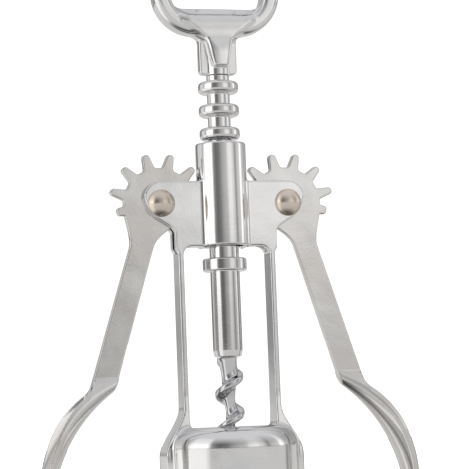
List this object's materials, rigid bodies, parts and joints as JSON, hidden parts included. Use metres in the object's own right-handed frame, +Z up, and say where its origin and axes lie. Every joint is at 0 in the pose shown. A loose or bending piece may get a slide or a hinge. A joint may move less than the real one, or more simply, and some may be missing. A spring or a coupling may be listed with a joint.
{
  "type": "lever corkscrew",
  "caption": "Wing corkscrew with two gear levers, a ringed rack, a turning loop head with cap lifter and an auger worm over a bottle bell.",
  "frame": {"origin": "centre of the bell's rim, the face that the corkscrew stands on", "axes": "+Z up along the screw, front faces -Y, levers to -X and +X"},
  "size_m": [0.1034, 0.0348, 0.177],
  "materials": {
    "frame_chrome": "bright chrome plate over a zinc casting",
    "rivet_nickel": "nickel plate, slightly warm",
    "lever_chrome": "chrome plate over pressed steel",
    "spindle_chrome": "bright chrome plate over turned steel",
    "head_chrome": "bright chrome plate over a zinc casting",
    "worm_chrome": "chrome plate over steel"
  },
  "bodies": {
    "frame": {"bell": "frame_chrome", "left_leg": "frame_chrome", "right_leg": "frame_chrome", "yoke": "frame_chrome", "left_rivet": "rivet_nickel", "right_rivet": "rivet_nickel"},
    "rack": {"rack_spindle": "spindle_chrome", "stop_collar": "spindle_chrome"},
    "screw": {"head": "head_chrome", "worm": "worm_chrome"},
    "left_lever": {"left_lever": "lever_chrome"},
    "right_lever": {"right_lever": "lever_chrome"}
  },
  "joints": [
    {"name": "spindle_slide", "type": "slide", "parent": "frame", "child": "rack", "axis": [0, 0, 1], "range_m": [-0.0285, 0.0026]},
    {"name": "head_turn", "type": "hinge", "parent": "rack", "child": "screw", "pos_m": [0, 0, 0.1], "axis": [0, 0, 1], "continuous": true},
    {"name": "left_lever_swing", "type": "hinge", "parent": "frame", "child": "left_lever", "pos_m": [-0.0175, 0, 0.0995], "axis": [0, 1, 0], "range_deg": [-12.6, 136.3]},
    {"name": "right_lever_swing", "type": "hinge", "parent": "frame", "child": "right_lever", "pos_m": [0.0175, 0, 0.0995], "axis": [0, -1, 0], "range_deg": [-12.6, 136.3]}
  ],
  "couplings": [
    {"joint": "left_lever_swing", "follows": "spindle_slide", "rad_per_m": -83.333},
    {"joint": "right_lever_swing", "follows": "spindle_slide", "rad_per_m": -83.333}
  ]
}
